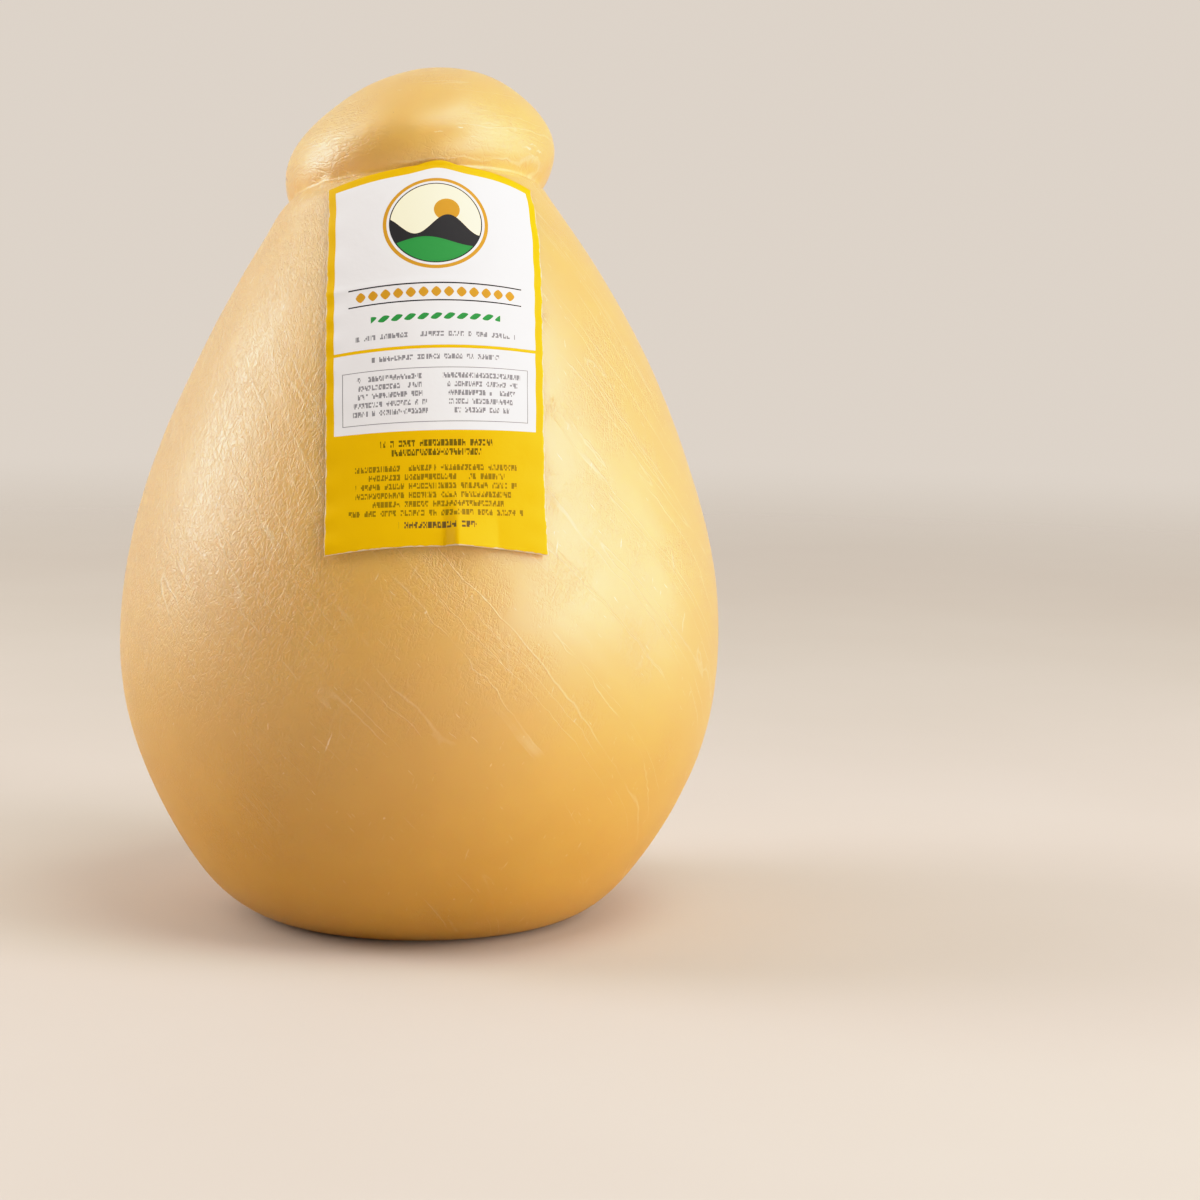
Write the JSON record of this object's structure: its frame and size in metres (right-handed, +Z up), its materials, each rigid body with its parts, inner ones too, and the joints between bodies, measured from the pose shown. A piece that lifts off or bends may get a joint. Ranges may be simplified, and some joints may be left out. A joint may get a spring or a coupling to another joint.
{
  "type": "caciocavallo cheese",
  "caption": "Whole pear-shaped stretched-curd cheese with a pinched-off head leaning over the neck crease and a paper label wrapped on its front.",
  "frame": {"origin": "middle of the flat spot that the cheese stands on", "axes": "+Z up through the cheese to its head, -Y the way the label faces, +X to the right seen from the label's side"},
  "size_m": [0.1516, 0.1516, 0.2132],
  "materials": {
    "rind": "satin, waxy golden rind",
    "label_paper": "semi-gloss printed paper"
  },
  "bodies": {
    "root": {"cheese": "rind", "label": "label_paper"}
  },
  "joints": []
}
